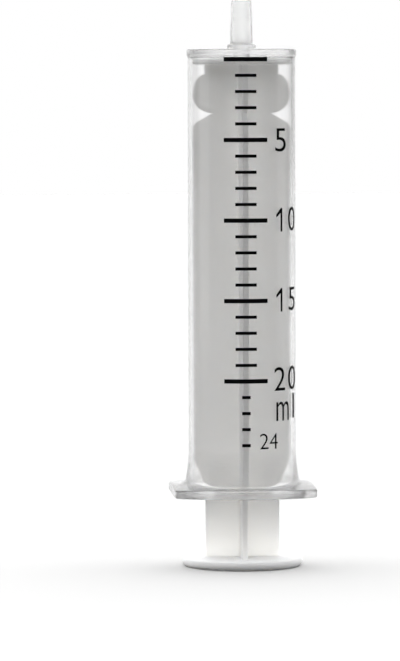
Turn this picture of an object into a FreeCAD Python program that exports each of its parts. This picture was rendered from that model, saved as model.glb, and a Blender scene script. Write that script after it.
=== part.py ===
import FreeCAD, Part
import math
import os

from FreeCAD import Vector

os.makedirs("parts", exist_ok=True)

# A 20 ml luer slip syringe of two pieces, standing on its thumb rest with the nozzle up.
# Millimetres and degrees. +Z runs from the thumb rest to the nozzle, the scale faces -Y,
# and the origin is the middle of the thumb rest's underside.

# Barrel: bore and wall. The bore's width and the number of millilitres set the length.
bore_radius = 10.0
tube_wall = 0.75
millilitre = 1000.0              # cubic millimetres
mark_count = 24                  # one bar for each millilitre, and the zero bar
zero_drop = 0.5                  # the zero bar's middle below the inside of the end wall
scale_gap = 3.27                 # the last bar's middle above the flare

# Barrel: end wall and nozzle
end_wall = 1.55
floor_bevel = 0.3                # inside, where the bore meets the end wall
rim_proud = 0.2                  # the rim round the end wall stands out from the tube
rim_slope = 0.3                  # height over which the tube widens to the rim, above the scale
rim_bevel = 0.3
collar_radius = 2.88
collar_height = 1.0
collar_bevel = 0.25
nozzle_length = 8.7
nozzle_tip_diameter = 3.96
luer_taper = 0.06                # 6 % on the diameter
tip_bevel = 0.15
lumen_radius = 1.1

# Barrel: flared mouth
flare_height = 5.0               # above the flange
flare_out = 0.7                  # how far the outside widens over the flare
mouth_height = 7.0               # lead-in of the bore above the flange's underside
mouth_out = 0.65                 # how far the bore widens over the lead-in
mouth_bevel = 0.25
root_rounding = 1.0              # between the flare and the flange's top

# Barrel: finger flange
flange_thickness = 1.6           # at its far corners
flange_draft = 6.0               # slope of its top face
flange_ends_out = 2.75           # flat left and right ends, out from the flare
flange_bow_out = 3.15            # middle of the bowed front and back, out from the flare
flange_end_half = 10.4           # half the length of a flat end, corners included
flange_corner = 2.0
flange_bevel = 0.25              # top and bottom edges

# Plunger: sealing head
head_room = 0.05                 # head to end wall, plunger fully in
head_thickness = 1.4
head_clearance = 0.05            # running fit of the two sealing lips
head_bevel = 0.35                # top edge
head_foot = 0.2                  # bottom edge
lip_height = 0.3
groove_depth = 0.12              # between the lips

# Plunger: ribs
rib_thickness = 1.1
rib_clearance = 0.15             # long ribs to the bore
rib_fillet = 0.5                 # where the four ribs meet
neck_height = 1.95               # head to lobe
lobe_clearance = 0.25            # widest point of the rounded lobe to the bore
lobe_upper = 4.1                 # neck down to the widest point
lobe_lower = 3.65                # widest point down to the notch
neck_inset = 2.35                # the neck's sides, in from the lobe
notch_depth = 3.9                # in from the lobe
shoulder_angle = 29.0            # slope from the notch out to the long ribs
shoulder_rounding = 1.0
stem_inset = 2.43                # ribs outside the barrel, in from the long ribs
stem_rise = 1.3                  # stem's top above the flange's underside
stem_taper = 6.0                 # height over which the long ribs narrow to the stem
stem_length = 12.57              # thumb rest to the flange's underside
stem_foot = 0.45                 # the ribs' edges sweep out onto the thumb rest

# Plunger: thumb rest
thumb_radius = 12.0
thumb_thickness = 1.85
thumb_bevel = 0.3                # top edge
thumb_belly = 1.0                # rounding of the lower edge

# Scale printed on the barrel
nominal_mark = 20
marks_per_long = 5
ink_thickness = 0.05
ink_gap = 0.03                   # under the ink, so that the tube's facets don't reach into it
long_arc = 8.85
short_arc = 4.25
end_arc = 1.7                    # bars past the nominal volume
long_width = 0.85
short_width = 0.62

# Worked out from the sizes above
tube_radius = bore_radius + tube_wall
rim_radius = tube_radius + rim_proud
flare_radius = tube_radius + flare_out
mouth_radius = bore_radius + mouth_out
head_radius = bore_radius - head_clearance
rib_half_width = bore_radius - rib_clearance
lobe_half_width = bore_radius - lobe_clearance
neck_half_width = lobe_half_width - neck_inset
notch_half_width = lobe_half_width - notch_depth
stem_half_width = rib_half_width - stem_inset
nozzle_tip_radius = nozzle_tip_diameter / 2
nozzle_base_radius = nozzle_tip_radius + luer_taper * nozzle_length / 2
mark_pitch = millilitre / (math.pi * bore_radius ** 2)
flange_half_width = flare_radius + flange_ends_out
flange_half_depth = flare_radius + flange_bow_out
flange_reach = math.hypot(flange_half_width, flange_end_half)
ink_radius = tube_radius + ink_gap
flange_slope = math.tan(math.radians(flange_draft))

flange_bottom = thumb_thickness + stem_length
flare_foot = flange_bottom + flange_thickness + (flange_reach - flare_radius) * flange_slope
flare_top = flare_foot + flare_height
last_mark = flare_top + scale_gap
zero_mark = last_mark + mark_count * mark_pitch
end_inside = zero_mark + zero_drop
end_outside = end_inside + end_wall
collar_top = end_outside + collar_height
nozzle_tip = collar_top + nozzle_length
head_top = end_inside - head_room
head_bottom = head_top - head_thickness
stem_top = flange_bottom + stem_rise

overrun = 1.0                    # trimming shapes run this far past what they trim
overlap = 0.2                    # joined shapes of one moulding share this much
tolerance = 0.001                # for picking out edges and faces


def at(across, height):
    return Vector(across, 0, height)


def straight(start, end):
    return Part.LineSegment(start, end).toShape()


def quarter_ellipse(start, corner, end):
    """A quarter of an ellipse that leaves start and reaches end along the sides of the corner."""
    curve = Part.BezierCurve()
    curve.setPoles([start, corner, end])
    curve.setWeight(2, math.sqrt(0.5))
    return curve.toShape()


def corner_arc(before, corner, after, rounding):
    """The start, middle and end of the arc that touches both sides of a corner."""
    back = (before - corner).normalize()
    ahead = (after - corner).normalize()
    half_angle = back.getAngle(ahead) / 2
    reach = rounding / math.tan(half_angle)
    inward = (back + ahead).normalize()
    middle = corner + inward * (rounding / math.sin(half_angle) - rounding)
    return corner + back * reach, middle, corner + ahead * reach


def turned(outline):
    """A solid of revolution about Z from (radius, height) corners. A third number rounds a corner."""
    corners = [at(radius, height) for radius, height, *rounding in outline]
    edges = []
    last = corners[0]
    for place in range(1, len(outline)):
        corner = corners[place]
        if len(outline[place]) > 2:
            after = corners[(place + 1) % len(outline)]
            start, middle, end = corner_arc(corners[place - 1], corner, after, outline[place][2])
            edges += [straight(last, start), Part.Arc(start, middle, end).toShape()]
            last = end
        else:
            edges.append(straight(last, corner))
            last = corner
    edges.append(straight(last, corners[0]))
    face = Part.Face(Part.Wire(edges))
    return face.revolve(Vector(0, 0, 0), Vector(0, 0, 1), 360)


def flange_prism():
    """The flange's outline, flat left and right and bowed front and back, as tall as the barrel."""
    left, right = -flange_half_width, flange_half_width
    front, back = -flange_half_depth, flange_half_depth
    end, low = flange_end_half, flange_bottom - overrun
    outline = Part.Wire([
        Part.Arc(Vector(left, -end, low), Vector(0, front, low), Vector(right, -end, low)).toShape(),
        straight(Vector(right, -end, low), Vector(right, end, low)),
        Part.Arc(Vector(right, end, low), Vector(0, back, low), Vector(left, end, low)).toShape(),
        straight(Vector(left, end, low), Vector(left, -end, low)),
    ])
    height = nozzle_tip + overrun - low
    prism = Part.Face(outline).extrude(Vector(0, 0, height))
    corners = [edge for edge in prism.Edges if edge.BoundBox.ZLength > height / 2]
    return prism.makeFillet(flange_corner, corners)


def is_upright(face):
    low_u, high_u, low_v, high_v = face.ParameterRange
    return abs(face.normalAt((low_u + high_u) / 2, (low_v + high_v) / 2).z) < tolerance


def flange_edges(body):
    """The edges round the flange's outline, along its top and its underside."""
    edges = []
    for face in body.Faces:
        on_flange = face.BoundBox.ZMin > flange_bottom - tolerance and face.BoundBox.ZMax < flare_foot
        if on_flange and is_upright(face):
            edges += [edge for edge in face.Edges if edge.BoundBox.ZLength < flange_thickness / 2]
    return edges


def barrel():
    """One turned wall from the mouth to the nozzle, with a disc that is trimmed to the flange."""
    disc_radius = flange_reach + overrun
    wall = turned([
        (lumen_radius, end_inside),
        (bore_radius - floor_bevel, end_inside),
        (bore_radius, end_inside - floor_bevel),
        (bore_radius, flange_bottom + mouth_height),
        (mouth_radius, flange_bottom + mouth_bevel),
        (mouth_radius + mouth_bevel, flange_bottom),
        (disc_radius, flange_bottom),
        (disc_radius, flange_bottom + flange_thickness - overrun * flange_slope),
        (flare_radius, flare_foot, root_rounding),
        (tube_radius, flare_top),
        (tube_radius, end_inside),
        (rim_radius, end_inside + rim_slope),
        (rim_radius, end_outside - rim_bevel),
        (rim_radius - rim_bevel, end_outside),
        (collar_radius, end_outside),
        (collar_radius, collar_top - collar_bevel),
        (collar_radius - collar_bevel, collar_top),
        (nozzle_base_radius, collar_top),
        (nozzle_tip_radius, nozzle_tip - tip_bevel),
        (nozzle_tip_radius - tip_bevel, nozzle_tip),
        (lumen_radius, nozzle_tip),
    ])
    body = wall.common(flange_prism())
    return body.makeChamfer(flange_bevel, flange_edges(body))


def rib():
    """One of the four ribs, from the axis out along +X: neck, lobe, notch, long rib and stem."""
    neck_foot = head_bottom - neck_height
    lobe_middle = neck_foot - lobe_upper
    notch = lobe_middle - lobe_lower
    slope = math.tan(math.radians(shoulder_angle))
    shoulder = notch - (rib_half_width - notch_half_width) * slope
    shoulder_start = at(rib_half_width - shoulder_rounding, shoulder + shoulder_rounding * slope)
    shoulder_end = at(rib_half_width, shoulder - shoulder_rounding)
    neck_side = at(neck_half_width, neck_foot)
    lobe_side = at(lobe_half_width, lobe_middle)
    notch_side = at(notch_half_width, notch)
    top = head_bottom + overlap
    foot = thumb_thickness - overlap
    foot_corner = at(stem_half_width, thumb_thickness)
    sweep_start = at(stem_half_width, thumb_thickness + stem_foot)
    sweep_end = at(stem_half_width + stem_foot, thumb_thickness)
    edges = [
        straight(at(0, top), at(neck_half_width, top)),
        straight(at(neck_half_width, top), neck_side),
        quarter_ellipse(neck_side, at(lobe_half_width, neck_foot), lobe_side),
        quarter_ellipse(lobe_side, at(lobe_half_width, notch), notch_side),
        straight(notch_side, shoulder_start),
        quarter_ellipse(shoulder_start, at(rib_half_width, shoulder), shoulder_end),
        straight(shoulder_end, at(rib_half_width, stem_top + stem_taper)),
        straight(at(rib_half_width, stem_top + stem_taper), at(stem_half_width, stem_top)),
        straight(at(stem_half_width, stem_top), sweep_start),
        quarter_ellipse(sweep_start, foot_corner, sweep_end),
        straight(sweep_end, at(stem_half_width + stem_foot, foot)),
        straight(at(stem_half_width + stem_foot, foot), at(0, foot)),
        straight(at(0, foot), at(0, top)),
    ]
    face = Part.Face(Part.Wire(edges))
    face.translate(Vector(0, -rib_thickness / 2, 0))
    return face.extrude(Vector(0, rib_thickness, 0))


def plunger():
    """Sealing head, four ribs and thumb rest."""
    ribs = []
    for turn in range(4):
        copy = rib()
        copy.rotate(Vector(0, 0, 0), Vector(0, 0, 1), 90 * turn)
        ribs.append(copy)
    cross = ribs[0].fuse(ribs[1:]).removeSplitter()
    inner = math.hypot(rib_thickness / 2, rib_thickness / 2)
    seams = []
    for edge in cross.Edges:
        middle = edge.CenterOfMass
        if abs(math.hypot(middle.x, middle.y) - inner) < tolerance and edge.BoundBox.ZLength > stem_length:
            seams.append(edge)
    cross = cross.makeFillet(rib_fillet, seams)

    lower_lip = head_bottom + head_foot + lip_height
    upper_lip = head_top - head_bevel - lip_height
    head = turned([
        (0, head_bottom),
        (head_radius - head_foot, head_bottom),
        (head_radius, head_bottom + head_foot),
        (head_radius, lower_lip),
        (head_radius - groove_depth, (lower_lip + upper_lip) / 2),
        (head_radius, upper_lip),
        (head_radius, head_top - head_bevel),
        (head_radius - head_bevel, head_top),
        (0, head_top),
    ])
    thumb_rest = turned([
        (0, 0),
        (thumb_radius, 0, thumb_belly),
        (thumb_radius, thumb_thickness - thumb_bevel),
        (thumb_radius - thumb_bevel, thumb_thickness),
        (0, thumb_thickness),
    ])
    return cross.fuse([head, thumb_rest]).removeSplitter()


def mark(number):
    """The scale bar of one volume: a curved bar of ink on the outside of the tube."""
    if number % marks_per_long == 0:
        arc, width = long_arc, long_width
    elif number < nominal_mark:
        arc, width = short_arc, short_width
    else:
        arc, width = end_arc, short_width
    middle = zero_mark - number * mark_pitch
    low, high = middle - width / 2, middle + width / 2
    corners = [
        at(ink_radius, low),
        at(ink_radius + ink_thickness, low),
        at(ink_radius + ink_thickness, high),
        at(ink_radius, high),
    ]
    section = Part.Face(Part.makePolygon(corners + corners[:1]))
    span = math.degrees(arc / ink_radius)
    bar = section.revolve(Vector(0, 0, 0), Vector(0, 0, 1), span)
    bar.rotate(Vector(0, 0, 0), Vector(0, 0, 1), -90 - span / 2)
    return bar


nodes = {
    "barrel": barrel(),
    "plunger": plunger(),
    "scale_marks": Part.makeCompound([mark(number) for number in range(mark_count + 1)]),
}
for name, shape in nodes.items():
    shape.exportStep("parts/" + name + ".step")
    box = shape.BoundBox
    print(name, "solids", len(shape.Solids), "valid", shape.isValid(), "volume", round(shape.Volume, 2),
          "z", round(box.ZMin, 3), round(box.ZMax, 3))
print("stroke to the last mark", round(mark_count * mark_pitch, 3))
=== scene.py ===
import math

import bmesh
import bpy
from mathutils import Matrix, Vector


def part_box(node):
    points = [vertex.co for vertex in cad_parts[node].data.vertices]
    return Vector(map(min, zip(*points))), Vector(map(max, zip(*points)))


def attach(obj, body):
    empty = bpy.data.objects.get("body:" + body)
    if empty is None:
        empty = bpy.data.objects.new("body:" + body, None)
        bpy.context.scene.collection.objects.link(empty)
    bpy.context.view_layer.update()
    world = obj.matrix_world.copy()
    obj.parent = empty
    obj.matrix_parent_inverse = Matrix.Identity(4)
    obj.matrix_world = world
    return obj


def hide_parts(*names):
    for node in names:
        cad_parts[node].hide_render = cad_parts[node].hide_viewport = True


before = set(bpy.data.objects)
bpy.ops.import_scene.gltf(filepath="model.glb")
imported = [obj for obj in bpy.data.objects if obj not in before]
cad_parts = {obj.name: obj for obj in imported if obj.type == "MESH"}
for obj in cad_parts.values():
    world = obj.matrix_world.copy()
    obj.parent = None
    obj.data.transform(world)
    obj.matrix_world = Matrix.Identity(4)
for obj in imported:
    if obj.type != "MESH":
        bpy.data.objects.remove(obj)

# A 20 ml luer slip syringe standing on its thumb rest with the nozzle up. Sizes in the dictionaries
# are millimetres and degrees. Heights and outer sizes come from the frame, so that every piece sits
# where the CAD part has it.

mm = 0.001
tiny = 0.001                    # millimetres, for telling vertices apart
scene = bpy.context.scene
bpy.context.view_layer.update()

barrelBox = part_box("barrel")
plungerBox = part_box("plunger")
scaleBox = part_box("scale_marks")


# helpers for modelling

def deselectAll():
    if bpy.context.object and bpy.context.object.mode != "OBJECT":
        bpy.ops.object.mode_set(mode="OBJECT")
    bpy.ops.object.select_all(action="DESELECT")


def edit(piece):
    deselectAll()
    piece.select_set(True)
    bpy.context.view_layer.objects.active = piece
    bpy.ops.object.mode_set(mode="EDIT")


def pick(piece, kind, wanted):
    # selects the verts, edges or faces that the test wants
    bpy.ops.mesh.select_mode(type={"verts": "VERT", "edges": "EDGE", "faces": "FACE"}[kind])
    bpy.ops.mesh.select_all(action="DESELECT")
    shape = bmesh.from_edit_mesh(piece.data)
    for part in getattr(shape, kind):
        if wanted(part):
            part.select = True
    shape.select_flush_mode()
    bmesh.update_edit_mesh(piece.data)


def trace(name, points, closed):
    # draws a chain of edges point by point, as with E in edit mode; points are in millimetres
    deselectAll()
    bpy.ops.mesh.primitive_plane_add(size=mm)
    piece = bpy.context.object
    piece.name = name
    piece.data.name = name
    spots = [Vector(point) * mm for point in points]
    bpy.ops.object.mode_set(mode="EDIT")
    bpy.ops.mesh.select_mode(type="VERT")
    bpy.ops.mesh.select_all(action="SELECT")
    bpy.ops.mesh.merge(type="CENTER")
    bpy.ops.transform.translate(value=spots[0])
    for before, after in zip(spots, spots[1:]):
        bpy.ops.mesh.extrude_region_move(TRANSFORM_OT_translate={"value": after - before})
    if closed:
        ends = (spots[0], spots[-1])
        pick(piece, "verts", lambda vert: any((vert.co - end).length < tiny * mm for end in ends))
        bpy.ops.mesh.edge_face_add()
    return piece


def spinRound(piece, steps):
    # turns the drawn section once about Z and closes it
    bpy.ops.mesh.select_all(action="SELECT")
    bpy.ops.mesh.spin(steps=steps, angle=math.tau, center=(0, 0, 0), axis=(0, 0, 1))
    bpy.ops.mesh.select_all(action="SELECT")
    bpy.ops.mesh.remove_doubles(threshold=tiny * mm)
    bpy.ops.mesh.normals_make_consistent(inside=False)


def bevelRing(piece, radius, height, width, segments):
    # rounds one circular edge of a turned piece
    def onRing(vert):
        reach = math.hypot(vert.co.x, vert.co.y)
        return abs(reach - radius * mm) < tiny * mm and abs(vert.co.z - height * mm) < tiny * mm
    pick(piece, "edges", lambda edge: all(onRing(vert) for vert in edge.verts))
    bpy.ops.mesh.bevel(offset=width * mm, segments=segments, affect="EDGES")


def unite(piece, *others):
    # one closed shell out of several
    for other in others:
        deselectAll()
        bpy.context.view_layer.objects.active = piece
        piece.select_set(True)
        union = piece.modifiers.new("union", "BOOLEAN")
        union.operation = "UNION"
        union.solver = "EXACT"
        union.object = other
        bpy.ops.object.modifier_apply(modifier=union.name)
        bpy.data.objects.remove(other)


def finishPiece(piece, body, smoothAngle):
    deselectAll()
    piece.select_set(True)
    bpy.context.view_layer.objects.active = piece
    bpy.ops.object.shade_smooth_by_angle(angle=math.radians(smoothAngle))
    # long flat faces keep their own normals beside small bevels, or the clear wall bends the view
    weighted = piece.modifiers.new("weighted", "WEIGHTED_NORMAL")
    weighted.mode = "FACE_AREA"
    weighted.weight = 50
    weighted.keep_sharp = True
    bpy.ops.object.modifier_apply(modifier=weighted.name)
    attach(piece, body)


# helpers for materials

def linear(hexColour):
    # an sRGB hex colour as linear RGBA
    channels = [int(hexColour[place:place + 2], 16) / 255 for place in (0, 2, 4)]
    return [c / 12.92 if c <= 0.04045 else ((c + 0.055) / 1.055) ** 2.4 for c in channels] + [1.0]


def addNode(tree, kind, settings=None, links=None):
    # settings are node properties or socket values; links are socket: (node, output)
    node = tree.nodes.new(kind)
    for name, value in (settings or {}).items():
        if isinstance(name, str) and hasattr(node, name) and name not in node.inputs:
            setattr(node, name, value)
        else:
            node.inputs[name].default_value = value
    for name, (source, output) in (links or {}).items():
        tree.links.new(source.outputs[output], node.inputs[name])
    return node


def newMaterial(name):
    material = bpy.data.materials.new(name)
    material.use_nodes = True
    tree = material.node_tree
    tree.nodes.clear()
    return material, tree


# barrel: one moulding of clarified polypropylene

barrelSizes = {
    "steps": 288,               # round the axis
    "boreRadius": 10.0,
    "tubeWall": 0.75,
    "headRoom": 0.05,           # sealing head to end wall
    "floorRounding": 0.3,
    "endWall": 1.55,
    "rimProud": 0.2,
    "rimSlope": 0.3,
    "rimRounding": 0.35,
    "collarRadius": 2.88,
    "collarHeight": 1.0,
    "collarRounding": 0.3,
    "nozzleLength": 8.7,
    "nozzleTipRadius": 1.98,
    "luerTaper": 0.06,
    "tipRounding": 0.18,
    "lumenRadius": 1.1,
    "footRounding": 0.22,       # where collar and nozzle rise
    "flareOut": 0.7,
    "flareHeight": 5.0,
    "flareRounding": 1.8,
    "mouthOut": 0.65,
    "mouthHeight": 7.0,
    "mouthRounding": 0.3,
    "rootRounding": 0.8,
    "flangeThickness": 1.6,
    "flangeDraft": 6.0,
    "flangeEndHalf": 10.4,
    "flangeCorner": 2.0,
    "flangeRounding": 0.28,
}


def rayToCircle(angle, centre, radius):
    # how far a ray from the axis runs until it leaves the circle
    along = centre[0] * math.cos(angle) + centre[1] * math.sin(angle)
    return along + math.sqrt(along ** 2 - centre[0] ** 2 - centre[1] ** 2 + radius ** 2)


def flangeReach(x, y, sizes):
    # the flange's outline: flat left and right ends, bowed front and back, rounded corners
    halfWidth = barrelBox[1].x / mm
    halfDepth = barrelBox[1].y / mm
    corner = sizes["flangeCorner"]
    bow = halfDepth - sizes["flangeEndHalf"]
    bowRadius = (halfWidth ** 2 + bow ** 2) / (2 * bow)
    bowCentre = halfDepth - bowRadius                       # on the Y axis
    cornerX = halfWidth - corner
    cornerY = bowCentre + math.sqrt((bowRadius - corner) ** 2 - cornerX ** 2)
    angle = math.atan2(abs(y), abs(x))
    touchFlat = math.atan2(cornerY, halfWidth)
    away = bowRadius / (bowRadius - corner)
    touchBow = math.atan2(bowCentre + (cornerY - bowCentre) * away, cornerX * away)
    if angle < touchFlat:
        return halfWidth / math.cos(angle)
    if angle < touchBow:
        return rayToCircle(angle, (cornerX, cornerY), corner)
    return rayToCircle(angle, (0, bowCentre), bowRadius)


def makeBarrel(sizes):
    bore = sizes["boreRadius"]
    tube = bore + sizes["tubeWall"]
    rim = tube + sizes["rimProud"]
    flare = tube + sizes["flareOut"]
    mouth = bore + sizes["mouthOut"]
    lumen = sizes["lumenRadius"]
    disc = barrelBox[1].x / mm + sizes["flangeThickness"]   # pulled in to the outline below
    slope = math.tan(math.radians(sizes["flangeDraft"]))
    cornerReach = math.hypot(barrelBox[1].x / mm, sizes["flangeEndHalf"])

    bottom = barrelBox[0].z / mm
    foot = bottom + sizes["flangeThickness"] + (cornerReach - flare) * slope
    endInside = plungerBox[1].z / mm + sizes["headRoom"]
    endOutside = endInside + sizes["endWall"]
    collarTop = endOutside + sizes["collarHeight"]
    tip = collarTop + sizes["nozzleLength"]
    tipRadius = sizes["nozzleTipRadius"]
    baseRadius = tipRadius + sizes["luerTaper"] * sizes["nozzleLength"] / 2

    section = [
        (lumen, endInside),
        (bore, endInside),
        (bore, bottom + sizes["mouthHeight"]),
        (mouth, bottom),
        (disc, bottom),
        (disc, foot - (disc - flare) * slope),
        (flare, foot),
        (tube, foot + sizes["flareHeight"]),
        (tube, endInside),
        (rim, endInside + sizes["rimSlope"]),
        (rim, endOutside),
        (sizes["collarRadius"], endOutside),
        (sizes["collarRadius"], collarTop),
        (baseRadius, collarTop),
        (tipRadius, tip),
        (lumen, tip),
    ]
    barrel = trace("barrel_shell", [(radius, 0, height) for radius, height in section], closed=True)
    spinRound(barrel, sizes["steps"])

    # the disc's edge goes in to the flange's outline, along the sloping top
    bpy.ops.object.mode_set(mode="OBJECT")
    for vertex in barrel.data.vertices:
        x, y = vertex.co.x / mm, vertex.co.y / mm
        if math.hypot(x, y) > disc - tiny:
            reach = flangeReach(x, y, sizes)
            vertex.co.xy *= reach / math.hypot(x, y)
            if vertex.co.z > (bottom + tiny) * mm:
                vertex.co.z = (foot - (reach - flare) * slope) * mm

    edit(barrel)
    pastRoot = (flare + sizes["rootRounding"] * 2) * mm
    halfThick = sizes["flangeThickness"] / 2 * mm

    def onFlangeRim(edge):
        out = all(math.hypot(vert.co.x, vert.co.y) > pastRoot for vert in edge.verts)
        return out and abs(edge.verts[0].co.z - edge.verts[1].co.z) < halfThick

    pick(barrel, "edges", onFlangeRim)
    bpy.ops.mesh.bevel(offset=sizes["flangeRounding"] * mm, segments=3, affect="EDGES")
    rings = [
        # radius, height, rounding, segments
        (bore, endInside, sizes["floorRounding"], 3),
        (bore, bottom + sizes["mouthHeight"], sizes["flareRounding"], 3),
        (mouth, bottom, sizes["mouthRounding"], 3),
        (flare, foot, sizes["rootRounding"], 6),
        (tube, foot + sizes["flareHeight"], sizes["flareRounding"], 4),
        (rim, endInside + sizes["rimSlope"], sizes["rimSlope"] / 3, 2),
        (rim, endOutside, sizes["rimRounding"], 5),
        (sizes["collarRadius"], endOutside, sizes["footRounding"], 3),
        (sizes["collarRadius"], collarTop, sizes["collarRounding"], 4),
        (baseRadius, collarTop, sizes["footRounding"], 3),
        (tipRadius, tip, sizes["tipRounding"], 4),
        (lumen, tip, sizes["tipRounding"], 3),
    ]
    for radius, height, width, segments in rings:
        bevelRing(barrel, radius, height, width, segments)
    bpy.ops.mesh.select_all(action="SELECT")
    bpy.ops.mesh.normals_make_consistent(inside=False)
    bpy.ops.object.mode_set(mode="OBJECT")
    return barrel


barrel = makeBarrel(barrelSizes)
finishPiece(barrel, "barrel_body", 40)
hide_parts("barrel")
print("barrel:", len(barrel.data.polygons), "faces")


# plunger: one moulding of milky polyethylene

plungerSizes = {
    "steps": 240,
    "headRadius": 9.95,
    "headThickness": 1.4,
    "headBevel": 0.35,
    "headFoot": 0.2,
    "lipHeight": 0.3,
    "grooveDepth": 0.12,
    "ribThickness": 1.1,
    "ribHalfWidth": 9.85,
    "ribFillet": 0.5,
    "ribRounding": 0.14,
    "neckHeight": 1.95,
    "lobeHalfWidth": 9.75,
    "lobeUpper": 4.1,
    "lobeLower": 3.65,
    "neckInset": 2.35,
    "notchDepth": 3.9,
    "shoulderAngle": 29.0,
    "shoulderRounding": 1.0,
    "stemInset": 2.43,
    "stemTop": 15.72,
    "stemTaper": 6.0,
    "stemFoot": 0.45,           # sweep out onto the thumb rest
    "thumbThickness": 1.85,
    "thumbBevel": 0.3,
    "thumbBelly": 1.0,
    "overlap": 0.2,             # the ribs run this far into head and thumb rest
}


def quarterEllipse(start, corner, end, count):
    # points from start to end that leave and arrive along the sides of the corner
    points = []
    for number in range(1, count):
        turn = math.pi / 2 * number / count
        x = start[0] + (corner[0] - start[0]) * math.sin(turn) + (end[0] - corner[0]) * (1 - math.cos(turn))
        z = start[1] + (corner[1] - start[1]) * math.sin(turn) + (end[1] - corner[1]) * (1 - math.cos(turn))
        points.append((x, z))
    return [start] + points + [end]


def ribOutline(sizes):
    # right half of a rib, from the head down to the thumb rest
    top = plungerBox[1].z / mm - sizes["headThickness"] + sizes["overlap"]
    thumb = sizes["thumbThickness"]
    low = thumb - 3 * sizes["overlap"]
    rib = sizes["ribHalfWidth"]
    lobe = sizes["lobeHalfWidth"]
    neck = lobe - sizes["neckInset"]
    notch = lobe - sizes["notchDepth"]
    stem = rib - sizes["stemInset"]
    neckFoot = top - sizes["overlap"] - sizes["neckHeight"]
    lobeMiddle = neckFoot - sizes["lobeUpper"]
    notchHeight = lobeMiddle - sizes["lobeLower"]
    slope = math.tan(math.radians(sizes["shoulderAngle"]))
    shoulder = notchHeight - (rib - notch) * slope
    rounding = sizes["shoulderRounding"]
    points = [(neck, top)]
    points += quarterEllipse((neck, neckFoot), (lobe, neckFoot), (lobe, lobeMiddle), 14)
    points += quarterEllipse((lobe, lobeMiddle), (lobe, notchHeight), (notch, notchHeight), 14)[1:]
    points += quarterEllipse((rib - rounding, shoulder + rounding * slope), (rib, shoulder),
                             (rib, shoulder - rounding), 6)
    points += [(rib, sizes["stemTop"] + sizes["stemTaper"]), (stem, sizes["stemTop"])]
    foot = stem + sizes["stemFoot"]
    hidden = foot + 2 * sizes["overlap"]
    points += quarterEllipse((stem, thumb + sizes["stemFoot"]), (stem, thumb), (foot, thumb), 4)
    return points + [(hidden, thumb - sizes["overlap"] / 2), (hidden, low)]


def makeRib(sizes):
    right = ribOutline(sizes)
    outline = right + [(-x, z) for x, z in reversed(right)]
    half = sizes["ribThickness"] / 2
    rib = trace("plunger_body", [(x, -half, z) for x, z in outline], closed=True)
    bpy.ops.mesh.select_all(action="SELECT")
    bpy.ops.mesh.edge_face_add()
    bpy.ops.mesh.extrude_region_move(TRANSFORM_OT_translate={"value": (0, 2 * half * mm, 0)})
    bpy.ops.mesh.select_all(action="SELECT")
    bpy.ops.mesh.normals_make_consistent(inside=False)

    def alongOutline(edge):
        return abs(edge.verts[0].co.y - edge.verts[1].co.y) < tiny * mm

    pick(rib, "edges", alongOutline)
    bpy.ops.mesh.bevel(offset=sizes["ribRounding"] * mm, segments=2, affect="EDGES")
    bpy.ops.object.mode_set(mode="OBJECT")
    return rib


def makeHead(sizes):
    radius = sizes["headRadius"]
    top = plungerBox[1].z / mm
    low = top - sizes["headThickness"]
    lowerLip = low + sizes["headFoot"] + sizes["lipHeight"]
    upperLip = top - sizes["headBevel"] - sizes["lipHeight"]
    section = [
        (0, low),
        (radius - sizes["headFoot"], low),
        (radius, low + sizes["headFoot"]),
        (radius, lowerLip),
        (radius - sizes["grooveDepth"], (lowerLip + upperLip) / 2),
        (radius, upperLip),
        (radius, top - sizes["headBevel"]),
        (radius - sizes["headBevel"], top),
        (0, top),
    ]
    head = trace("sealing_head", [(across, 0, height) for across, height in section], closed=False)
    spinRound(head, sizes["steps"])
    bpy.ops.object.mode_set(mode="OBJECT")
    return head


def makeThumbRest(sizes):
    radius = plungerBox[1].x / mm
    thick = sizes["thumbThickness"]
    section = [(0, 0), (radius, 0), (radius, thick), (0, thick)]
    thumbRest = trace("thumb_rest", [(across, 0, height) for across, height in section], closed=False)
    spinRound(thumbRest, sizes["steps"])
    bevelRing(thumbRest, radius, 0, sizes["thumbBelly"], 8)
    bevelRing(thumbRest, radius, thick, sizes["thumbBevel"], 3)
    bpy.ops.object.mode_set(mode="OBJECT")
    return thumbRest


def makePlunger(sizes):
    plunger = makeRib(sizes)
    crossing = plunger.copy()
    crossing.data = plunger.data.copy()
    scene.collection.objects.link(crossing)
    crossing.data.transform(Matrix.Rotation(math.pi / 2, 4, "Z"))
    unite(plunger, crossing)
    edit(plunger)
    half = sizes["ribThickness"] / 2 * mm

    def onSeam(edge):
        return all(abs(abs(vert.co.x) - half) < tiny * mm and abs(abs(vert.co.y) - half) < tiny * mm
                   for vert in edge.verts) and abs(edge.verts[0].co.z - edge.verts[1].co.z) > mm

    pick(plunger, "edges", onSeam)
    bpy.ops.mesh.bevel(offset=sizes["ribFillet"] * mm, segments=5, affect="EDGES")
    bpy.ops.object.mode_set(mode="OBJECT")
    unite(plunger, makeHead(sizes), makeThumbRest(sizes))
    return plunger


plunger = makePlunger(plungerSizes)
plunger.name = "plunger_moulding"
finishPiece(plunger, "plunger_body", 40)
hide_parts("plunger")
print("plunger:", len(plunger.data.polygons), "faces")


# printed numerals and unit, pad-printed in the same ink as the scale bars

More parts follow.
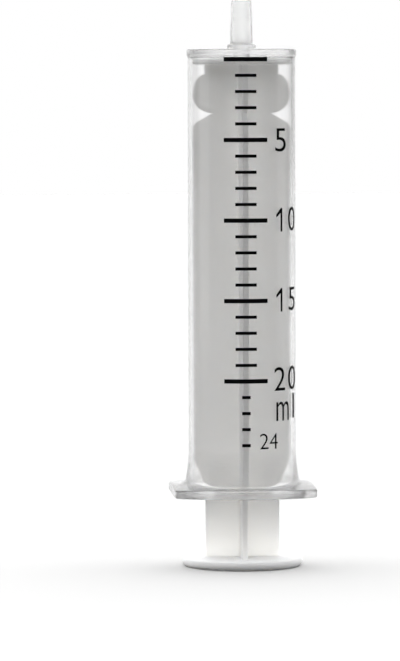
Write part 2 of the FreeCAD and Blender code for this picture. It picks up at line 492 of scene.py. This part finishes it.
printSizes = {
    "inkThickness": 0.05,
    "stripWidth": 0.3,          # glyphs are cut into strips this wide, so that they bend round the tube
    "curveSteps": 8,
    "oneStroke": 0.45,          # the figure 1 is traced, with a slanted flag
    "oneTop": 0.3375,           # width of its top, before the flag slopes down
    "oneFlagDrop": 1.3,
    "oneFlagEnd": 0.6,
    "oneFlagRoot": 0.945,       # where the flag's underside meets the stroke, below the top
    "texts": {
        # name: (middle height, weight, glyphs), a glyph being (text, left angle, right angle, height, lift)
        "numeral_5": (85.38, -0.006, [("5", 33.5, 49.4, 4.6, 0)]),
        "numeral_10": (69.63, -0.006, [("1", 34.9, 43.4, 4.7, -0.05), ("0", 54.0, 71.0, 4.7, 0.05)]),
        "numeral_15": (53.73, -0.006, [("1", 34.9, 43.4, 4.7, -0.05), ("5", 55.0, 71.0, 4.6, 0.05)]),
        "numeral_20": (37.98, -0.006, [("2", 31.8, 47.8, 4.7, 0), ("0", 53.5, 72.5, 4.7, 0.05)]),
        "unit_ml": (31.53, -0.006, [("m", 34.5, 54.5, 3.8, 0), ("l", 64.0, 68.5, 4.9, 0.9)]),
        "numeral_24": (25.68, -0.010, [("2", 14.6, 24.4, 3.1, 0), ("4", 25.8, 36.2, 3.1, 0)]),
    },
}


def makeFigure(text, width, height, weight, sizes):
    # one flat glyph in its printed width and height, the middle of its left side at the origin
    deselectAll()
    if text == "1":
        inner = width - sizes["oneStroke"]
        flagTop = height - sizes["oneFlagDrop"]
        outline = [
            (width, 0),
            (width, height),
            (width - sizes["oneTop"], height),
            (0, flagTop),
            (0, flagTop - sizes["oneFlagEnd"]),
            (inner, height - sizes["oneFlagRoot"]),
            (inner, 0),
        ]
        piece = trace("figure", [(x, y - height / 2, 0) for x, y in outline], closed=True)
        bpy.ops.mesh.select_all(action="SELECT")
        bpy.ops.mesh.edge_face_add()
        bpy.ops.object.mode_set(mode="OBJECT")
        return piece
    bpy.ops.object.text_add()
    bpy.context.object.data.body = text
    bpy.context.object.data.offset = weight
    bpy.context.object.data.resolution_u = sizes["curveSteps"]
    bpy.ops.object.convert(target="MESH")
    piece = bpy.context.object
    spots = [vertex.co.copy() for vertex in piece.data.vertices]
    low = Vector([min(spot[axis] for spot in spots) for axis in range(3)])
    high = Vector([max(spot[axis] for spot in spots) for axis in range(3)])
    for vertex in piece.data.vertices:
        vertex.co.x = (vertex.co.x - low.x) / (high.x - low.x) * width * mm
        vertex.co.y = ((vertex.co.y - low.y) / (high.y - low.y) - 0.5) * height * mm
    return piece


def makePrint(name, middle, weight, glyphs, sizes):
    # one numeral or unit, glyph by glyph, in the same skin as the bars
    radius = -scaleBox[0].y - sizes["inkThickness"] * mm
    pieces = []
    for text, leftAngle, rightAngle, height, lift in glyphs:
        width = math.radians(rightAngle - leftAngle) * radius
        piece = makeFigure(text, width / mm, height, weight, sizes)

        # upright cuts, then a skin of ink
        edit(piece)
        bpy.ops.mesh.select_all(action="SELECT")
        bpy.ops.mesh.remove_doubles(threshold=tiny * mm)
        strips = int(width / mm / sizes["stripWidth"])
        for number in range(1, strips):
            bpy.ops.mesh.select_all(action="SELECT")
            bpy.ops.mesh.bisect(plane_co=(width * number / strips, 0, 0), plane_no=(1, 0, 0))
        bpy.ops.mesh.select_all(action="SELECT")
        bpy.ops.mesh.extrude_region_move(
            TRANSFORM_OT_translate={"value": (0, 0, sizes["inkThickness"] * mm)})
        bpy.ops.mesh.select_all(action="SELECT")
        bpy.ops.mesh.normals_make_consistent(inside=False)
        bpy.ops.object.mode_set(mode="OBJECT")

        # round the tube: x runs along the arc from the left angle, z stands out from the surface
        for vertex in piece.data.vertices:
            angle = math.radians(leftAngle) + vertex.co.x / radius
            reach = radius + vertex.co.z
            up = (middle + lift) * mm + vertex.co.y
            vertex.co = (reach * math.sin(angle), -reach * math.cos(angle), up)
        pieces.append(piece)
    deselectAll()
    for piece in pieces:
        piece.select_set(True)
    bpy.context.view_layer.objects.active = pieces[0]
    if len(pieces) > 1:
        bpy.ops.object.join()
    pieces[0].name = name
    pieces[0].data.name = name
    return pieces[0]


prints = []
for name, (middle, weight, glyphs) in printSizes["texts"].items():
    numeral = makePrint(name, middle, weight, glyphs, printSizes)
    finishPiece(numeral, "barrel_body", 30)
    prints.append(numeral)
print("print:", len(prints), "numerals")


# materials

finishHeights = {
    # where one finish of the barrel goes over into the other, as (polished, satin)
    "nozzleEnd": (101.5, 102.5),
    "mouthEnd": (24.0, 15.0),
}


def satinBeyond(tree, axis, heights):
    polished, satin = heights
    return addNode(tree, "ShaderNodeMapRange", {"From Min": polished * mm, "From Max": satin * mm},
                   {"Value": (axis, "Z")})


def clarifiedPolypropylene(heights):
    # Injection-moulded clarified PP. The tube comes from a polished core and is nearly clear, while
    # the nozzle, the end wall and the flange keep the mould's satin finish and look a little milky.
    # Polish and haze vary in clouds some 6 mm wide.
    material, tree = newMaterial("clarified_polypropylene")
    place = addNode(tree, "ShaderNodeTexCoord")
    cloud = addNode(tree, "ShaderNodeTexNoise", {"Scale": 160.0, "Detail": 3.0, "Roughness": 0.5},
                    {"Vector": (place, "Object")})
    polished = addNode(tree, "ShaderNodeMapRange", {"To Min": 0.09, "To Max": 0.13},
                       {"Value": (cloud, "Fac")})
    satin = addNode(tree, "ShaderNodeMapRange", {"To Min": 0.17, "To Max": 0.22},
                    {"Value": (cloud, "Fac")})
    axis = addNode(tree, "ShaderNodeSeparateXYZ", None, {"Vector": (place, "Object")})
    top = satinBeyond(tree, axis, heights["nozzleEnd"])
    foot = satinBeyond(tree, axis, heights["mouthEnd"])
    ends = addNode(tree, "ShaderNodeMath", {"operation": "MAXIMUM"}, {0: (top, 0), 1: (foot, 0)})
    rough = addNode(tree, "ShaderNodeMix", None, {0: (ends, 0), 2: (polished, 0), 3: (satin, 0)})
    clear = addNode(tree, "ShaderNodeMapRange", {"To Min": 0.993, "To Max": 0.89}, {"Value": (ends, 0)})
    shader = addNode(tree, "ShaderNodeBsdfPrincipled", {
        "Base Color": linear("FFFFFF"),
        "IOR": 1.49,
        "Transmission Weight": 0.93,    # about the middle of the linked range; about the middle, for what reads only plain values
        "Subsurface Weight": 1.0,
        "Subsurface Radius": (1.0, 1.0, 1.0),
        "Subsurface Scale": 0.003,
    }, {"Roughness": (rough, 0), "Transmission Weight": (clear, 0)})
    haze = addNode(tree, "ShaderNodeVolumeAbsorption", {"Color": linear("BCBDBB"), "Density": 10.0})
    addNode(tree, "ShaderNodeOutputMaterial", None,
            {"Surface": (shader, "BSDF"), "Volume": (haze, "Volume")})
    return material


def milkyPolyethylene():
    # Injection-moulded natural PE: waxy and off-white, so milky that light spreads a few millimetres
    # through it. Its white varies a little in clouds some 8 mm wide.
    material, tree = newMaterial("milky_polyethylene")
    place = addNode(tree, "ShaderNodeTexCoord")
    cloud = addNode(tree, "ShaderNodeTexNoise", {"Scale": 120.0, "Detail": 3.0, "Roughness": 0.5},
                    {"Vector": (place, "Object")})
    colour = addNode(tree, "ShaderNodeMix", {"data_type": "RGBA", 6: linear("FCFBF8"), 7: linear("F9F9F5")},
                     {0: (cloud, "Fac")})
    shader = addNode(tree, "ShaderNodeBsdfPrincipled", {
        "IOR": 1.51,
        "Roughness": 0.42,
        "Subsurface Weight": 1.0,
        "Subsurface Radius": (1.0, 0.97, 0.93),
        "Subsurface Scale": 0.004,
    }, {"Base Color": (colour, 2)})
    addNode(tree, "ShaderNodeOutputMaterial", None, {"Surface": (shader, "BSDF")})
    return material


def padPrintInk():
    # Flat black pad-printing ink, a thin skin whose faint sheen has a grain of a third of a millimetre.
    material, tree = newMaterial("pad_print_ink")
    place = addNode(tree, "ShaderNodeTexCoord")
    grain = addNode(tree, "ShaderNodeTexNoise", {"Scale": 3000.0, "Detail": 2.0},
                    {"Vector": (place, "Object")})
    rough = addNode(tree, "ShaderNodeMapRange", {"To Min": 0.5, "To Max": 0.7}, {"Value": (grain, "Fac")})
    shader = addNode(tree, "ShaderNodeBsdfPrincipled", {
        "Base Color": linear("040404"),
        "IOR": 1.5,
        "Specular IOR Level": 0.03,
    }, {"Roughness": (rough, "Result")})
    addNode(tree, "ShaderNodeOutputMaterial", None, {"Surface": (shader, "BSDF")})
    return material


def coat(piece, material):
    piece.data.materials.clear()
    piece.data.materials.append(material)


ink = padPrintInk()
coat(barrel, clarifiedPolypropylene(finishHeights))
coat(plunger, milkyPolyethylene())
for piece in prints:
    coat(piece, ink)
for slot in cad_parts["scale_marks"].material_slots:
    slot.material = ink
print("materials done")


# floor, world, lamps and camera

stageSizes = {
    "floorSize": 6000.0,
    "floorColour": "505050",
    "floorLift": 6.4,           # the floor as the camera sees it, against its own colour
    "skyFront": 0.43,           # light from the camera's side
    "skyBack": 3.05,            # light from behind and above
    "skyTowards": (0.0, 0.64, 0.768),
    "skyFrom": -0.1,            # where the light begins to rise, as a cosine
    "backdropTowards": (-0.07, 0.995, 0.07),
    "backdropEdge": (0.65, 0.92),   # as cosines, from beside the white backdrop to the whole of it
    "backdropSide": 0.25,       # what the clear wall picks up from beside it
}


def seenDirectly(tree):
    # 1 for what the camera sees, straight, mirrored or through the clear barrel, and 0 for light
    light = addNode(tree, "ShaderNodeLightPath")
    mirrored = addNode(tree, "ShaderNodeMath", {"operation": "MAXIMUM"},
                       {0: (light, "Is Camera Ray"), 1: (light, "Is Glossy Ray")})
    through = addNode(tree, "ShaderNodeMath", {"operation": "MAXIMUM"},
                      {0: (mirrored, 0), 1: (light, "Is Transmission Ray")})
    bounced = addNode(tree, "ShaderNodeMath", {"operation": "GREATER_THAN", 1: 0.5},
                      {0: (light, "Diffuse Depth")})
    return addNode(tree, "ShaderNodeMath", {"operation": "SUBTRACT", "use_clamp": True},
                   {0: (through, 0), 1: (bounced, 0)})


def makeFloor(sizes):
    # plain paper, seen as white, that throws little light back up
    deselectAll()
    bpy.ops.mesh.primitive_plane_add(size=sizes["floorSize"] * mm)
    floor = bpy.context.object
    floor.name = "floor"
    material, tree = newMaterial("floor_paper")
    colour = linear(sizes["floorColour"])
    seen = [channel * sizes["floorLift"] for channel in colour[:3]] + [1.0]
    plain = addNode(tree, "ShaderNodeBsdfDiffuse", {"Color": colour})
    lifted = addNode(tree, "ShaderNodeBsdfDiffuse", {"Color": seen})
    mix = addNode(tree, "ShaderNodeMixShader", None,
                  {0: (seenDirectly(tree), 0), 1: (plain, 0), 2: (lifted, 0)})
    addNode(tree, "ShaderNodeOutputMaterial", None, {"Surface": (mix, 0)})
    coat(floor, material)


def makeWorld(sizes):
    # soft light that rises towards the back, and a white backdrop for what is seen directly
    world = bpy.data.worlds.new("studio")
    scene.world = world
    world.use_nodes = True
    tree = world.node_tree
    tree.nodes.clear()
    place = addNode(tree, "ShaderNodeTexCoord")
    towards = addNode(tree, "ShaderNodeVectorMath",
                      {"operation": "DOT_PRODUCT", 1: sizes["skyTowards"]}, {0: (place, "Generated")})
    level = addNode(tree, "ShaderNodeMapRange",
                    {"interpolation_type": "SMOOTHSTEP", "From Min": sizes["skyFrom"],
                     "To Min": sizes["skyFront"], "To Max": sizes["skyBack"]}, {"Value": (towards, "Value")})
    soft = addNode(tree, "ShaderNodeBackground", {"Color": (1, 1, 1, 1)}, {"Strength": (level, 0)})
    behind = addNode(tree, "ShaderNodeVectorMath",
                     {"operation": "DOT_PRODUCT", 1: sizes["backdropTowards"]}, {0: (place, "Generated")})
    facing = addNode(tree, "ShaderNodeMath", {"operation": "ABSOLUTE"}, {0: (behind, "Value")})
    beside, within = sizes["backdropEdge"]
    paper = addNode(tree, "ShaderNodeMapRange",
                    {"interpolation_type": "SMOOTHSTEP", "From Min": beside, "From Max": within,
                     "To Min": sizes["backdropSide"], "To Max": 1.0}, {"Value": (facing, 0)})
    white = addNode(tree, "ShaderNodeBackground", {"Color": (1, 1, 1, 1)}, {"Strength": (paper, 0)})
    mix = addNode(tree, "ShaderNodeMixShader", None,
                  {0: (seenDirectly(tree), 0), 1: (soft, 0), 2: (white, 0)})
    addNode(tree, "ShaderNodeOutputWorld", None, {"Surface": (mix, 0)})


lamps = {
    # name: (place, size, watts)
    "left_softbox": ((-650, 50, 300), (400, 700), 0.63),
    "right_softbox": ((650, 50, 300), (400, 700), 0.5),
}


def makeLamps(lamps):
    middle = Vector((0, 0, barrelBox[1].z / 2))
    for name, (place, size, watts) in lamps.items():
        data = bpy.data.lights.new(name, "AREA")
        data.shape = "RECTANGLE"
        data.size, data.size_y = size[0] * mm, size[1] * mm
        data.energy = watts
        lamp = bpy.data.objects.new(name, data)
        scene.collection.objects.link(lamp)
        lamp.location = Vector(place) * mm
        lamp.rotation_euler = (middle - lamp.location).to_track_quat("-Z", "Y").to_euler()


cameraSizes = {
    "azimuth": -4.5,            # towards the left of the scale
    "distance": 877.0,
    "height": 96.40,
    "pitch": -3.2111,
    "yaw": 0.549,               # aims this far left of the axis
    "tilt": -0.15,
    "lens": 238.94,
    "nearest": 50.0,
    "farthest": 20000.0,
}


def makeCamera(sizes):
    turn = math.radians(sizes["azimuth"])
    data = bpy.data.cameras.new("camera")
    data.lens = sizes["lens"]
    data.clip_start = sizes["nearest"] * mm
    data.clip_end = sizes["farthest"] * mm
    camera = bpy.data.objects.new("camera", data)
    scene.collection.objects.link(camera)
    out = sizes["distance"] * mm
    camera.location = (math.sin(turn) * out, -math.cos(turn) * out, sizes["height"] * mm)
    camera.rotation_mode = "XYZ"
    level = Matrix.Rotation(turn + math.radians(sizes["yaw"]), 4, "Z")
    pitch = Matrix.Rotation(math.radians(90 + sizes["pitch"]), 4, "X")
    tilt = Matrix.Rotation(math.radians(sizes["tilt"]), 4, "Z")
    camera.rotation_euler = (level @ pitch @ tilt).to_euler()
    scene.camera = camera


makeFloor(stageSizes)
makeWorld(stageSizes)
makeLamps(lamps)
makeCamera(cameraSizes)
scene.view_settings.view_transform = "Standard"
print("stage, lamps and camera done")
